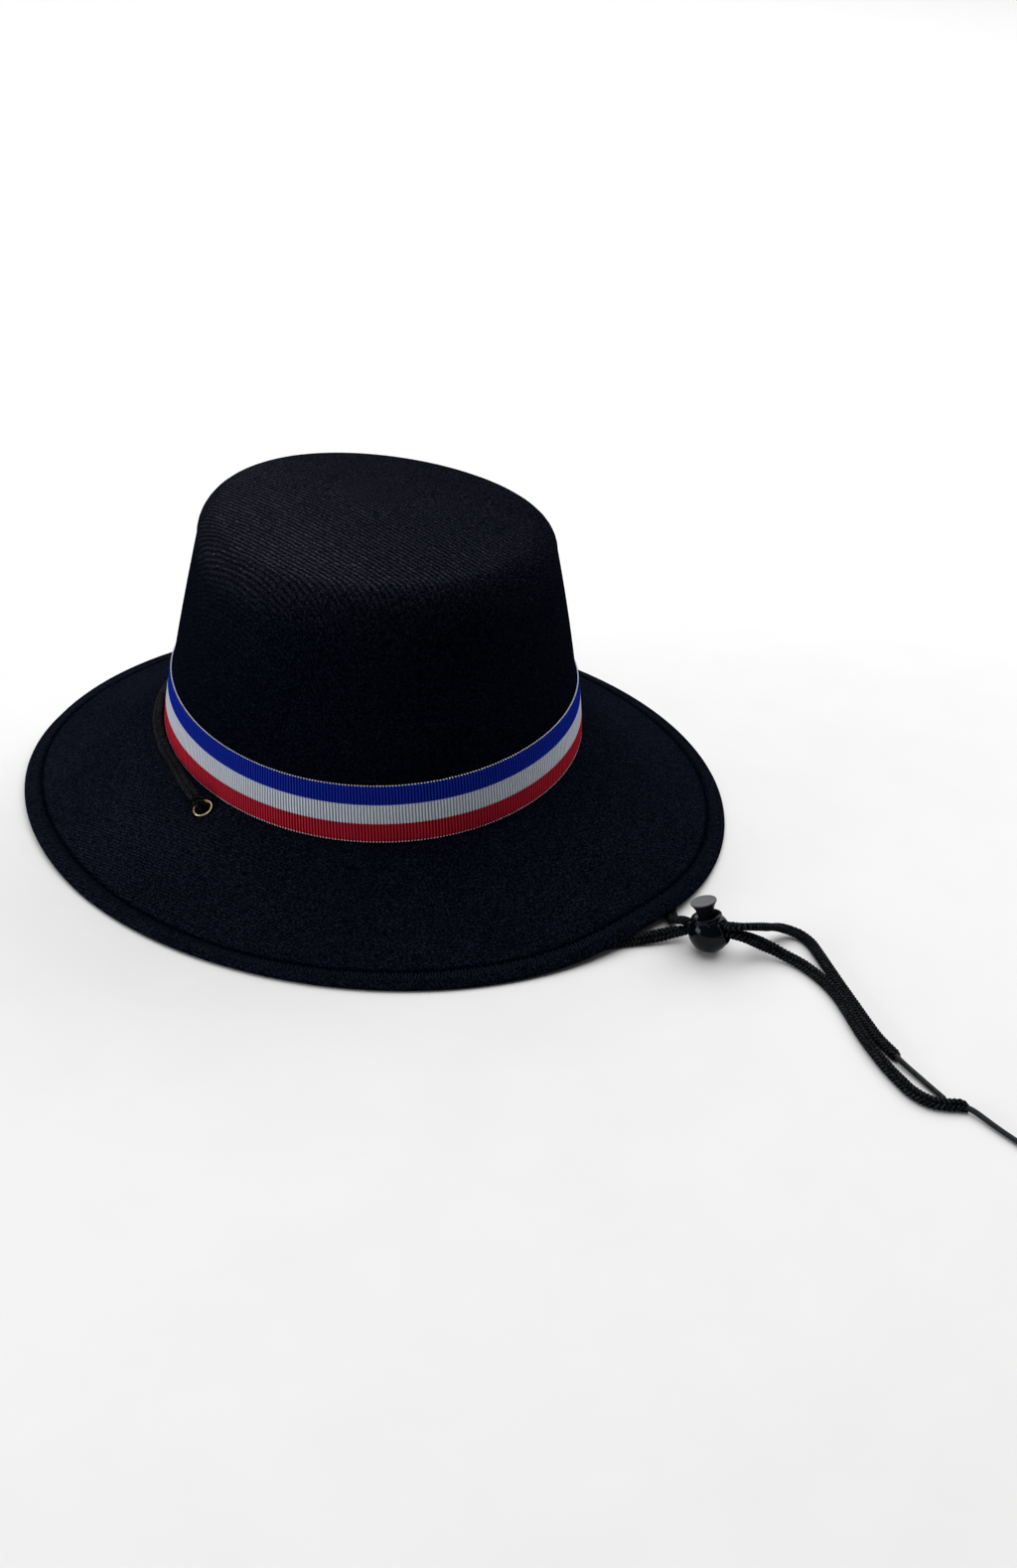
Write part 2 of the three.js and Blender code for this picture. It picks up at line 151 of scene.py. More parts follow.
def skin_point(angle, share, depth):
    point, normal = brim_point(angle, share), brim_normal(angle, share)
    lift = np.maximum(0, HEM_THICKNESS * normal[..., 2] - point[..., 2])
    point = point - depth * normal
    point[..., 2] = np.maximum(0, point[..., 2] + lift)
    return point


def stack_rings(name, sides, rings):
    """Extrudes one circle through rings of (half width, half length, height)."""
    bpy.ops.object.select_all(action="DESELECT")
    bpy.ops.mesh.primitive_circle_add(vertices=sides, radius=1)
    piece = bpy.context.object
    piece.name = piece.data.name = name
    width, length, height = rings[0]
    bpy.ops.object.mode_set(mode="EDIT")
    bpy.ops.mesh.select_all(action="SELECT")
    bpy.ops.transform.resize(value=(width, length, 1))
    bpy.ops.transform.translate(value=(0, 0, height))
    for new_width, new_length, new_height in rings[1:]:
        bpy.ops.mesh.extrude_edges_move(TRANSFORM_OT_translate={"value": (0, 0, new_height - height)})
        grow = (new_width / width, new_length / length, 1)
        bpy.ops.transform.resize(value=grow, center_override=(0, 0, new_height))
        width, length, height = new_width, new_length, new_height
    bpy.ops.object.mode_set(mode="OBJECT")
    return piece


def choose(piece):
    bpy.ops.object.select_all(action="DESELECT")
    piece.select_set(True)
    bpy.context.view_layer.objects.active = piece


def pick_vertices(piece, start, count):
    """Selects one run of vertices and leaves the piece in edit mode."""
    choose(piece)
    bpy.ops.object.mode_set(mode="EDIT")
    bpy.ops.mesh.select_mode(type="VERT")
    bpy.ops.mesh.select_all(action="DESELECT")
    bpy.ops.object.mode_set(mode="OBJECT")
    chosen = [start <= i < start + count for i in range(len(piece.data.vertices))]
    piece.data.vertices.foreach_set("select", chosen)
    bpy.ops.object.mode_set(mode="EDIT")


def close_ends(piece, sides):
    """Draws the first and the last ring of a stack together into a point."""
    for start in (0, len(piece.data.vertices) - sides):
        pick_vertices(piece, start, sides)
        bpy.ops.mesh.extrude_edges_move()
        bpy.ops.mesh.merge(type="CENTER")
        bpy.ops.object.mode_set(mode="OBJECT")


def face_outwards(piece):
    pick_vertices(piece, 0, 0)
    bpy.ops.mesh.select_all(action="SELECT")
    bpy.ops.mesh.normals_make_consistent(inside=False)
    bpy.ops.object.mode_set(mode="OBJECT")


def smooth(piece, degrees):
    choose(piece)
    bpy.ops.object.shade_smooth_by_angle(angle=math.radians(degrees))


def apply_all(piece):
    bpy.context.view_layer.objects.active = piece
    for modifier in list(piece.modifiers):
        bpy.ops.object.modifier_apply(modifier=modifier.name)


def cut(piece, tool, operation="DIFFERENCE"):
    """Cuts, joins or trims one piece with another, which is used up."""
    modifier = piece.modifiers.new("cut", "BOOLEAN")
    modifier.operation = operation
    modifier.solver = "EXACT"
    modifier.object = tool
    apply_all(piece)
    bpy.data.objects.remove(tool)


def hat_row(row, angle):
    """One ring of the hat, from the crown's top down the outside, round the hem and up the inside."""
    part, share, depth = row
    if part == "dome":
        return dome_point(angle, share, depth)
    if part == "shoulder":
        return shoulder_point(angle, math.radians(share), depth)
    if part == "wall":
        return wall_point(angle, share, depth)
    if part == "brim":
        return skin_point(angle, share, depth)
    return skin_point(angle, 1 - share * MM / brim_width(angle), depth)


# The hem is given as millimetres in from the edge and millimetres down into the cloth.
HEM_PROFILE = [
    (10.2, 0), (9.5, 0.03), (9, 0.22), (8.6, 0.58), (8.15, 0.88), (7.7, 0.82), (7.3, 0.4), (6.95, 0),
    (6.5, -0.22), (5.5, -0.33), (4.2, -0.33), (3, -0.28), (2, -0.16), (1.2, 0.04), (0.6, 0.36), (0.22, 0.8),
    (0.02, 1.3), (0.1, 1.8), (0.4, 2.2), (0.9, 2.42), (2, 2.45), (3.6, 2.45), (5.2, 2.45), (6.8, 2.45),
    (8, 2.3), (9, 2),
]
WALL_SHARES = (0.93, 0.86, 0.78, 0.7, 0.62, 0.54, 0.46, 0.38, 0.3, 0.22, 0.14, 0.07, 0.005)
BRIM_SHARES = (0.012, 0.03, 0.06, 0.1, 0.15, 0.2, 0.26, 0.32, 0.39, 0.46, 0.54, 0.62, 0.7, 0.78)
hat_rows = [("dome", share, 0) for share in (0.06, 0.18, 0.3, 0.42, 0.54, 0.66, 0.78, 0.88, 0.95)]
hat_rows += [("shoulder", turn, 0) for turn in range(90, -1, -10)]
hat_rows += [("wall", share, 0) for share in WALL_SHARES]
hat_rows += [("brim", share, 0) for share in BRIM_SHARES]
hat_rows += [("hem", inward, depth * MM) for inward, depth in HEM_PROFILE]
hat_rows += [("brim", share, CLOTH) for share in (0.78, 0.68, 0.58, 0.48, 0.38, 0.28, 0.2, 0.12, 0.06, 0.03)]
hat_rows += [("wall", share, CLOTH) for share in (0.01, 0.1, 0.2, 0.3, 0.4, 0.5, 0.6, 0.7, 0.8, 0.9)]
hat_rows += [("shoulder", turn, CLOTH) for turn in range(0, 91, 15)]
hat_rows += [("dome", share, CLOTH) for share in (0.85, 0.65, 0.45, 0.25, 0.08)]

QUARTERS = np.array([0, math.pi / 2])


def plain_ring(side, back):
    """Half width, half length and height of the plain oval through a ring's side and back points."""
    return float(side[0]), float(back[1]), float(side[2] + back[2]) / 2


def angles_round(ring_points, plain):
    return np.arctan2(ring_points[:, 1] / plain[1], ring_points[:, 0] / plain[0])


plain_rings = [plain_ring(*hat_row(hat_ring, QUARTERS)) for hat_ring in hat_rows]
hat_cloth = stack_rings("hat_cloth", SIDES, plain_rings)

# The blocked shape is soft, so each ring is eased from its plain oval to where the cloth has settled.
# The twill's ribs run at a slant over the crown and at another on the brim, and nap hides most of them.
# The two end points close the cloth over the crown, outside and inside.
END_POINTS = 2
CROWN_BIAS = math.radians(7)
BRIM_BIAS = math.radians(20)
BRIM_FINER = 1.5
GROOVE_INWARD = (7, 9.2)
GROOVE_DEPTH = 0.7 * MM
corners = np.array([v.co for v in hat_cloth.data.vertices])
cloth_place = np.zeros((len(corners) + END_POINTS, 2))
rib_show = np.full(len(corners) + END_POINTS, 0.6)
sunk = np.zeros(len(corners) + END_POINTS)
for i, hat_ring in enumerate(hat_rows):
    part, share, depth = hat_ring
    ring = slice(i * SIDES, (i + 1) * SIDES)
    around = angles_round(corners[ring], plain_rings[i])
    corners[ring] = hat_row(hat_ring, around)
    cloth_place[ring] = corners[ring, :2]
    if part in ("shoulder", "wall"):
        rim = dome_point(around, 1, 0)
        down = np.linalg.norm(corners[ring] - rim, axis=1)
        cloth_place[ring, 0] = rim[:, 0] + down * np.cos(around) * np.abs(np.cos(around))
        cloth_place[ring, 1] = rim[:, 1] + down * np.sin(around)
    bias = CROWN_BIAS if part in ("dome", "shoulder", "wall") else BRIM_BIAS
    cosine, sine = math.cos(bias), math.sin(bias)
    cloth_place[ring] = cloth_place[ring] @ [[cosine, -sine], [sine, cosine]]
    paler_share = 0.35 + 0.65 * np.clip((0.05 - corners[ring, 0]) / 0.09, 0, 1)
    to_the_right = np.clip(-np.cos(around), 0, 1) ** 3
    if part == "dome":
        rib_show[ring] = paler_share
    elif part == "shoulder":
        facing_up = (share / 90) ** 2
        rib_show[ring] = paler_share * (0.6 * to_the_right + (1 - 0.6 * to_the_right) * facing_up)
    elif part == "wall":
        rib_show[ring] = paler_share * (0.03 + 0.4 * to_the_right * share ** 2)
    else:
        cloth_place[ring] *= BRIM_FINER
        rib_show[ring] = 0.08 + 0.35 * to_the_right
    # Each hem row's depth in the sunk line is kept as a mask for the shade painted there.
    if part == "hem" and GROOVE_INWARD[0] < share < GROOVE_INWARD[1] and depth < CLOTH / 2:
        sunk[ring] = min(1, depth / GROOVE_DEPTH)
hat_cloth.data.vertices.foreach_set("co", corners.ravel())
close_ends(hat_cloth, SIDES)
face_outwards(hat_cloth)
cloth_map = hat_cloth.data.uv_layers.new(name="cloth")
loop_corners = np.zeros(len(hat_cloth.data.loops), int)
hat_cloth.data.loops.foreach_get("vertex_index", loop_corners)
cloth_map.data.foreach_set("uv", cloth_place[loop_corners].ravel())
for name, values in (("ribs_showing", rib_show), ("sunk_line_shade", sunk)):
    hat_cloth.data.attributes.new(name, "FLOAT", "POINT").data.foreach_set("value", values)


def add_node(tree, kind, inputs=None, **settings):
    made = tree.nodes.new(kind)
    for key, value in settings.items():
        setattr(made, key, value)
    for key, value in (inputs or {}).items():
        if isinstance(value, bpy.types.NodeSocket):
            tree.links.new(value, made.inputs[key])
        else:
            made.inputs[key].default_value = value
    return made


def start_material(name, **sockets):
    material = bpy.data.materials.new(name)
    material.use_nodes = True
    shader = material.node_tree.nodes["Principled BSDF"]
    for key, value in sockets.items():
        shader.inputs[key.replace("_", " ")].default_value = value
    return material, material.node_tree, shader


def calculate(tree, operation, *values):
    made = add_node(tree, "ShaderNodeMath", operation=operation)
    for i, value in enumerate(values):
        if isinstance(value, bpy.types.NodeSocket):
            tree.links.new(value, made.inputs[i])
        else:
            made.inputs[i].default_value = value
    return made.outputs[0]


def ridges(tree, along, pitch):
    """Goes from 0 in a furrow to 1 on a ridge, once in each pitch."""
    wave = calculate(tree, "SINE", calculate(tree, "MULTIPLY", along, 2 * math.pi / pitch))
    return calculate(tree, "MULTIPLY_ADD", wave, 0.5, 0.5)


def colours(tree, amount, *stops, interpolation="LINEAR"):
    ramp = add_node(tree, "ShaderNodeValToRGB", {"Fac": amount})
    ramp.color_ramp.interpolation = interpolation
    while len(ramp.color_ramp.elements) < len(stops):
        ramp.color_ramp.elements.new(0.5)
    for element, (place, colour) in zip(ramp.color_ramp.elements, stops):
        element.position = place
        element.color = (*colour, 1)
    return ramp.outputs["Color"]


def blend(tree, share, first, second, way="MIX"):
    """Goes from the first colour to the second, or multiplies them."""
    sockets = {0: share, 6: first, 7: second}
    return add_node(tree, "ShaderNodeMix", sockets, data_type="RGBA", blend_type=way).outputs[2]


def finish_surface(tree, shader, colour, height, distance, strength=1.0):
    tree.links.new(colour, shader.inputs["Base Color"])
    relief = {"Height": height, "Distance": distance, "Strength": strength}
    tree.links.new(add_node(tree, "ShaderNodeBump", relief).outputs["Normal"], shader.inputs["Normal"])


def grain_of(tree, place, scale, detail, roughness=0.5):
    noise = {"Vector": place, "Scale": scale, "Detail": detail, "Roughness": roughness}
    return add_node(tree, "ShaderNodeTexNoise", noise).outputs["Fac"]


def object_place_in(tree):
    return add_node(tree, "ShaderNodeTexCoord").outputs["Object"]


def map_in(tree, name):
    """The two directions of one of the piece's own maps."""
    place = add_node(tree, "ShaderNodeUVMap", uv_map=name).outputs["UV"]
    across, along, _ = add_node(tree, "ShaderNodeSeparateXYZ", {"Vector": place}).outputs
    return across, along


def attribute_in(tree, name):
    return add_node(tree, "ShaderNodeAttribute", attribute_name=name).outputs["Fac"]


def share_of(tree, value, low, high):
    spread = {"Value": value, "From Min": low, "From Max": high}
    return add_node(tree, "ShaderNodeMapRange", spread).outputs["Result"]


def mottle(tree, place, scale, detail, low, high):
    """Gives a soft random tone from 0 to 1, with features about 1/scale metres wide."""
    return share_of(tree, grain_of(tree, place, scale, detail, 0.62), low, high)


TWILL_PITCH = 2.05 * MM
TWIST_PITCH = 0.9 * MM
twill, tree, shader = start_material(
    "black_twill", Roughness=0.95, Specular_IOR_Level=0.0, Sheen_Weight=0.006, Sheen_Roughness=0.4,
)
shader.inputs["Sheen Tint"].default_value = (0.6, 0.66, 0.85, 1)
object_place = object_place_in(tree)
across, lengthways = map_in(tree, "cloth")
shown = attribute_in(tree, "ribs_showing")
drift = mottle(tree, object_place, 45.0, 3.0, 0.0, 1.0)
rib = ridges(tree, calculate(tree, "MULTIPLY_ADD", drift, 0.0025, across), TWILL_PITCH)
slanted = calculate(tree, "MULTIPLY_ADD", across, 0.6, lengthways)
bead = ridges(tree, calculate(tree, "MULTIPLY_ADD", drift, 0.002, slanted), TWIST_PITCH)
twisted_rib = calculate(tree, "MULTIPLY", rib, calculate(tree, "MULTIPLY_ADD", bead, 0.45, 0.6))
fuzz = mottle(tree, object_place, 1250.0, 3.0, 0.36, 0.64)
nap = mottle(tree, object_place, 330.0, 3.0, 0.3, 0.7)
patch = mottle(tree, object_place, 22.0, 3.0, 0.35, 0.65)
ribs_seen = calculate(tree, "MULTIPLY", twisted_rib, shown)
weave = calculate(tree, "MULTIPLY_ADD", ribs_seen, 0.5, calculate(tree, "MULTIPLY", fuzz, 0.55))
weave = calculate(tree, "MULTIPLY_ADD", nap, 0.06, weave)
cloth_tone = calculate(tree, "MULTIPLY_ADD", patch, 0.05, weave)
lint = mottle(tree, object_place, 260.0, 1.0, 0.8, 0.87)
cloth_tone = calculate(tree, "ADD", cloth_tone, lint)
cloth_colour = colours(
    tree, cloth_tone,
    (0.14, (0.0003, 0.0006, 0.0026)), (0.45, (0.0068, 0.0078, 0.0135)), (0.8, (0.03, 0.031, 0.038)),
    (1.0, (0.09, 0.09, 0.095)),
)
# Painted light and shade by height: the crown's top is painted paler than the brim, where the lamp above lights
# it; the walls are painted darkest, where they face away from it; and the brim is painted darker towards the
# crown's foot, in the crown's shade.
height = add_node(tree, "ShaderNodeSeparateXYZ", {"Vector": object_place}).outputs["Z"]
painted_light_by_height = colours(
    tree, share_of(tree, height, 0.0, 0.125),
    (0.12, (0.62, 0.7, 0.84)), (0.25, (0.5, 0.57, 0.7)), (0.4, (0.34, 0.4, 0.52)), (0.86, (0.36, 0.42, 0.54)),
    (0.96, (0.72, 0.72, 0.76)),
)
# Painted shade: the rows down in the hem's sunk line are painted darker and bluer, for the shade that gathers
# in it.
groove_painted_shade = colours(tree, attribute_in(tree, "sunk_line_shade"), (0.0, (1, 1, 1)), (0.9, (0.22, 0.3, 0.5)))
painted_light_by_height = blend(tree, 1.0, painted_light_by_height, groove_painted_shade, "MULTIPLY")
cloth_colour = blend(tree, 1.0, cloth_colour, painted_light_by_height, "MULTIPLY")
finish_surface(tree, shader, cloth_colour, weave, 0.55 * MM, 0.7)
hat_cloth.data.materials.append(twill)
smooth(hat_cloth, 60)
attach(hat_cloth, "hat")
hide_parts("hat_body")

# Hem stitching
# A spun thread of the same black goes over and over beside the sunk line and holds the turned hem down.
# It lies in short stitches that point at the edge, none quite like the next.
STITCH_COUNT = 744
STITCH_INWARD = 5.6
STITCH_SLANT = 0.12
STITCH_HALF = (0.25, 1.8, 0.27)
bpy.ops.object.select_all(action="DESELECT")
bpy.ops.mesh.primitive_cylinder_add(vertices=8, radius=1, depth=2, rotation=(math.pi / 2, 0, 0))
stitch = bpy.context.object
bpy.ops.object.mode_set(mode="EDIT")
bpy.ops.mesh.select_all(action="SELECT")
bpy.ops.mesh.bevel(offset=0.35, segments=1, affect="EDGES")
bpy.ops.object.mode_set(mode="OBJECT")
bpy.ops.object.transform_apply(location=False, rotation=True, scale=False)


def new_piece(name, points, faces):
    mesh = bpy.data.meshes.new(name)
    mesh.from_pydata(np.concatenate(points).tolist(), [], faces)
    piece = bpy.data.objects.new(name, mesh)
    bpy.context.scene.collection.objects.link(piece)
    return piece


def repeat(name, pattern, places):
    """Copies one small shape to each place, given as a 4x4 matrix, and joins the copies."""
    shape = np.array([v.co for v in pattern.data.vertices])
    polygons = [list(p.vertices) for p in pattern.data.polygons]
    points, faces = [], []
    for i, place in enumerate(places):
        points.append(shape @ place[:3, :3].T + place[:3, 3])
        faces += [[v + i * len(shape) for v in polygon] for polygon in polygons]
    bpy.data.objects.remove(pattern)
    return new_piece(name, points, faces)


def brim_place(angle, inward, slant, size, depth):
    """Puts a stitch on the brim: its length runs from the crown outwards, turned by slant."""
    share = 1 - inward * MM / brim_width(angle)
    normal = brim_normal(angle, share)
    outwards = brim_point(angle, share + 0.01) - brim_point(angle, share - 0.01)
    outwards = outwards / np.linalg.norm(outwards)
    sideways = np.cross(outwards, normal)
    lengthwise = outwards * math.cos(slant) + sideways * math.sin(slant)
    crosswise = np.cross(lengthwise, normal)
    place = np.eye(4)
    for i, (direction, reach) in enumerate(zip((crosswise, lengthwise, normal), size)):
        place[:3, i] = direction * reach
    place[:3, 3] = skin_point(angle, share, depth)
    return place


stitch_places = []
for i in range(STITCH_COUNT):
    angle = np.array(2 * math.pi * i / STITCH_COUNT)
    inward = STITCH_INWARD + 0.3 * math.sin(i * 2.399)
    slant = STITCH_SLANT + 0.16 * math.sin(i * 1.7)
    wide, long, high = STITCH_HALF
    half_size = (wide * MM, (long + 0.25 * math.sin(i * 3.9)) * MM, high * MM)
    stitch_places.append(brim_place(angle, inward, slant, half_size, -0.36 * MM))
hem_stitches = repeat("hem_stitches", stitch, stitch_places)


def grained(name, scale, detail, dark, pale, distance, strength=1.0, **sockets):
    """A finish with a fine random grain between two tones, which also stands up a little."""
    material, tree, shader = start_material(name, **sockets)
    grain = grain_of(tree, object_place_in(tree), scale, detail)
    finish_surface(tree, shader, colours(tree, grain, dark, pale), grain, distance, strength)
    return material


stitch_thread = grained(
    "stitch_thread", 1600.0, 4.0, (0.35, (0.001, 0.002, 0.005)), (0.7, (0.014, 0.018, 0.029)), 0.2 * MM,
    Roughness=0.8, Specular_IOR_Level=0.02,
)
hem_stitches.data.materials.append(stitch_thread)
smooth(hem_stitches, 60)
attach(hem_stitches, "hat")

# Ribbon
# A woven grosgrain ribbon, 24 mm wide, in three equal stripes, sewn round the foot of the crown.
# Cross ribs run over its whole width, and small loops of white thread edge it above and below.
RIBBON_WIDTH = 24 * MM
RIBBON_START = 0.6 * MM
RIB_PITCH = 1.28 * MM
MEASURED_AT = 721


def ribbon_point(angle, rise, out):
    wall_height = shoulder_height(angle) - SHOULDER_RADIUS - foot_height(angle)
    return wall_point(angle, (RIBBON_START + rise) / wall_height, -out)


ribbon_rows = [(rise * MM, out * MM) for rise, out in (
    (0, 0.45), (0.05, 0.8), (0.35, 1.05), (1.2, 1.1), (4, 1.12), (8, 1.1), (12, 1.12), (16, 1.1), (20, 1.12),
    (22.8, 1.1), (23.65, 1.05), (23.95, 0.8), (24, 0.45), (23.8, 0.3), (18, 0.3), (12, 0.3), (6, 0.3),
    (0.2, 0.3),
)]
plain_rings = [plain_ring(*ribbon_point(QUARTERS, rise, out)) for rise, out in ribbon_rows]
ribbon = stack_rings("ribbon_band", SIDES, plain_rings)
corners = np.array([v.co for v in ribbon.data.vertices])
measured_angles = np.linspace(0, 2 * math.pi, MEASURED_AT)
ribbon_middle = ribbon_point(measured_angles, 12 * MM, 1.1 * MM)
ribbon_along = np.concatenate([[0], np.cumsum(np.linalg.norm(np.diff(ribbon_middle, axis=0), axis=1))])
rib_count = round(ribbon_along[-1] / RIB_PITCH)
band_angles = np.zeros(len(corners))
for i, (rise, out) in enumerate(ribbon_rows):
    ring = slice(i * SIDES, (i + 1) * SIDES)
    around = angles_round(corners[ring], plain_rings[i])
    corners[ring] = ribbon_point(around, rise, out)
    band_angles[ring] = around % (2 * math.pi)
ribbon.data.vertices.foreach_set("co", corners.ravel())


def join_ends(piece, sides):
    """Bridges the last ring of a stack to the first, which makes a closed hoop."""
    pick_vertices(piece, 0, sides)
    bpy.ops.object.mode_set(mode="OBJECT")
    for vertex in piece.data.vertices[-sides:]:
        vertex.select = True
    bpy.ops.object.mode_set(mode="EDIT")
    bpy.ops.mesh.bridge_edge_loops()
    bpy.ops.object.mode_set(mode="OBJECT")


join_ends(ribbon, SIDES)
face_outwards(ribbon)
band_map = ribbon.data.uv_layers.new(name="band")
for polygon in ribbon.data.polygons:
    angles = [band_angles[v] for v in polygon.vertices]
    for loop, angle in zip(polygon.loop_indices, angles):
        if max(angles) - angle > math.pi:
            angle += 2 * math.pi
        ribs = rib_count * np.interp(angle, measured_angles, ribbon_along) / ribbon_along[-1]
        rise = ribbon_rows[ribbon.data.loops[loop].vertex_index // SIDES][0]
        band_map.data[loop].uv = (ribs, rise / RIBBON_WIDTH)

grosgrain, tree, shader = start_material("tricolour_grosgrain", Roughness=0.6, Specular_IOR_Level=0.0)
object_place = object_place_in(tree)
rib_along, rise_share = map_in(tree, "band")
grain = grain_of(tree, object_place, 900.0, 4.0)
ripple = grain_of(tree, object_place, 130.0, 2.0)
cross_rib = ridges(tree, calculate(tree, "MULTIPLY_ADD", ripple, 0.25, rib_along), 1.0)
rib_round = calculate(tree, "POWER", cross_rib, 0.75)
stripe_edge = calculate(tree, "MULTIPLY_ADD", cross_rib, 0.01, rise_share)
RED, WHITE, BLUE = (0.58, 0.024, 0.047), (0.74, 0.78, 0.86), (0.011, 0.031, 0.42)
# Painted shade: each stripe has a darker copy of its colour, painted into the furrows between the cross ribs.
RED_FURROW_SHADE, WHITE_FURROW_SHADE, BLUE_FURROW_SHADE = (0.08, 0.001, 0.004), (0.2, 0.23, 0.3), (0.0, 0.001, 0.035)
on_rib, ribbon_furrow_shade = [
    colours(tree, stripe_edge, (0.0, red), (0.338, white), (0.672, blue), interpolation="CONSTANT")
    for red, white, blue in ((RED, WHITE, BLUE), (RED_FURROW_SHADE, WHITE_FURROW_SHADE, BLUE_FURROW_SHADE))
]
rib_light = calculate(tree, "MULTIPLY_ADD", grain, 0.4, calculate(tree, "MULTIPLY_ADD", rib_round, 1.15, -0.3))
ribbon_colour = blend(tree, rib_light, ribbon_furrow_shade, on_rib)
ribbon_height = calculate(tree, "MULTIPLY_ADD", grain, 0.25, rib_round)
finish_surface(tree, shader, ribbon_colour, ribbon_height, 0.45 * MM)
ribbon.data.materials.append(grosgrain)
smooth(ribbon, 50)
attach(ribbon, "hat")
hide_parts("ribbon")

bpy.ops.object.select_all(action="DESELECT")
bpy.ops.mesh.primitive_uv_sphere_add(segments=6, ring_count=4, radius=1)
loop_bead = bpy.context.object
LOOP_OUT = 0.75 * MM
loop_places = []
rib_starts = np.arange(rib_count) * ribbon_along[-1] / rib_count
for rise, half_height in ((RIBBON_WIDTH + 0.06 * MM, 0.2), (-0.08 * MM, 0.26)):
    for angle in np.interp(rib_starts, ribbon_along, measured_angles):
        angle = np.array(angle)
        middle = ribbon_point(angle, rise, LOOP_OUT)
        along = ribbon_point(angle + 0.01, rise, LOOP_OUT) - middle
        upwards = ribbon_point(angle, rise + MM, LOOP_OUT) - middle
        along, upwards = along / np.linalg.norm(along), upwards / np.linalg.norm(upwards)
        place = np.eye(4)
        place[:3, 0] = along * 0.4 * MM
        place[:3, 1] = np.cross(upwards, along) * 0.34 * MM
        place[:3, 2] = upwards * half_height * MM
        place[:3, 3] = middle
        loop_places.append(place)
ribbon_loops = repeat("ribbon_edge_loops", loop_bead, loop_places)
edge_thread = grained(
    "white_edge_thread", 1500.0, 3.0, (0.3, (0.82, 0.82, 0.86)), (0.7, (0.95, 0.95, 0.97)), 0.15 * MM,
    Roughness=0.6, Specular_IOR_Level=0.15,
)
ribbon_loops.data.materials.append(edge_thread)
smooth(ribbon_loops, 60)
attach(ribbon_loops, "hat")

# Eyelets
# A rolled brass ring over each ear, pressed through the brim just outside the ribbon.
# Its rim is round above and folded flat below.
EYELET_OUT = 7.5 * MM
EYELET_HOLE = 3.4
EYELET_BARREL = 3.7
EYELET_FLANGE = 4.35
EYELET_SIDES = 48


def eyelet_place(degrees):
    angle = np.array(math.radians(degrees))
    share = EYELET_OUT / brim_width(angle)
    middle = Vector(brim_point(angle, share))
    normal = Vector(brim_normal(angle, share))
    return Matrix.Translation(middle) @ Vector((0, 0, 1)).rotation_difference(normal).to_matrix().to_4x4()


rim_middle = (EYELET_HOLE + EYELET_FLANGE) / 2
rim_half = (EYELET_FLANGE - EYELET_HOLE) / 2
eyelet_profile = [(EYELET_BARREL, -2.5), (EYELET_BARREL, -1.2), (EYELET_BARREL, 0.3)]
for turn in range(-40, 221, 20):
    reach = math.radians(turn)
    eyelet_profile.append((rim_middle + rim_half * math.cos(reach), 0.62 + 0.42 * math.sin(reach)))
eyelet_profile += [(EYELET_HOLE, 0.2), (EYELET_HOLE, -1.2), (EYELET_HOLE, -2.6)]
for turn in range(180, 361, 30):
    reach = math.radians(turn)
    eyelet_profile.append((rim_middle + rim_half * math.cos(reach), -2.72 + 0.3 * math.sin(reach)))
brass = grained(
    "pale_brass", 420.0, 5.0, (0.3, (0.36, 0.27, 0.13)), (0.7, (0.62, 0.52, 0.33)), 0.06 * MM,
    Metallic=1.0, Roughness=0.28,
)
for name, degrees, node in (
    ("eyelet_ring_right", -170, "eyelet_right"),
    ("eyelet_ring_left", -10, "eyelet_left"),
):
    place = eyelet_place(degrees)
    bpy.ops.object.select_all(action="DESELECT")
    bpy.ops.mesh.primitive_cylinder_add(
        vertices=EYELET_SIDES, radius=(EYELET_BARREL + 0.15) * MM, depth=12 * MM,
    )
    punch = bpy.context.object
    punch.matrix_world = place
    cut(hat_cloth, punch)
    eyelet = stack_rings(name, EYELET_SIDES, [(r * MM, r * MM, z * MM) for r, z in eyelet_profile])
    join_ends(eyelet, EYELET_SIDES)
    eyelet.data.transform(place)
    face_outwards(eyelet)
    eyelet.data.materials.append(brass)
    smooth(eyelet, 50)
    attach(eyelet, "hat")
    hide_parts(node)

# Cord round the crown
# One soft flat braid in black lies round the back of the crown against the ribbon, from eyelet to eyelet.
# It is plaited in two rounded halves with a furrow between them.
CORD_HALF_WIDTH = 2.25 * MM
CORD_HALF_THICKNESS = 1.65 * MM
PLAIT_PITCH = 1.65 * MM
PLAIT_SLANT = 1.1
PLAIT_LUMP = 0.17
FURROW_DEPTH = 0.26
FURROW_WIDTH = 0.24
LOOSENED = 0.4 * MM
PRESSED_WIDTH = 0.75 * MM
PRESSED_THICKNESS = 0.2 * MM
CORD_SIDES = 24
CORD_STEP = 0.25 * MM


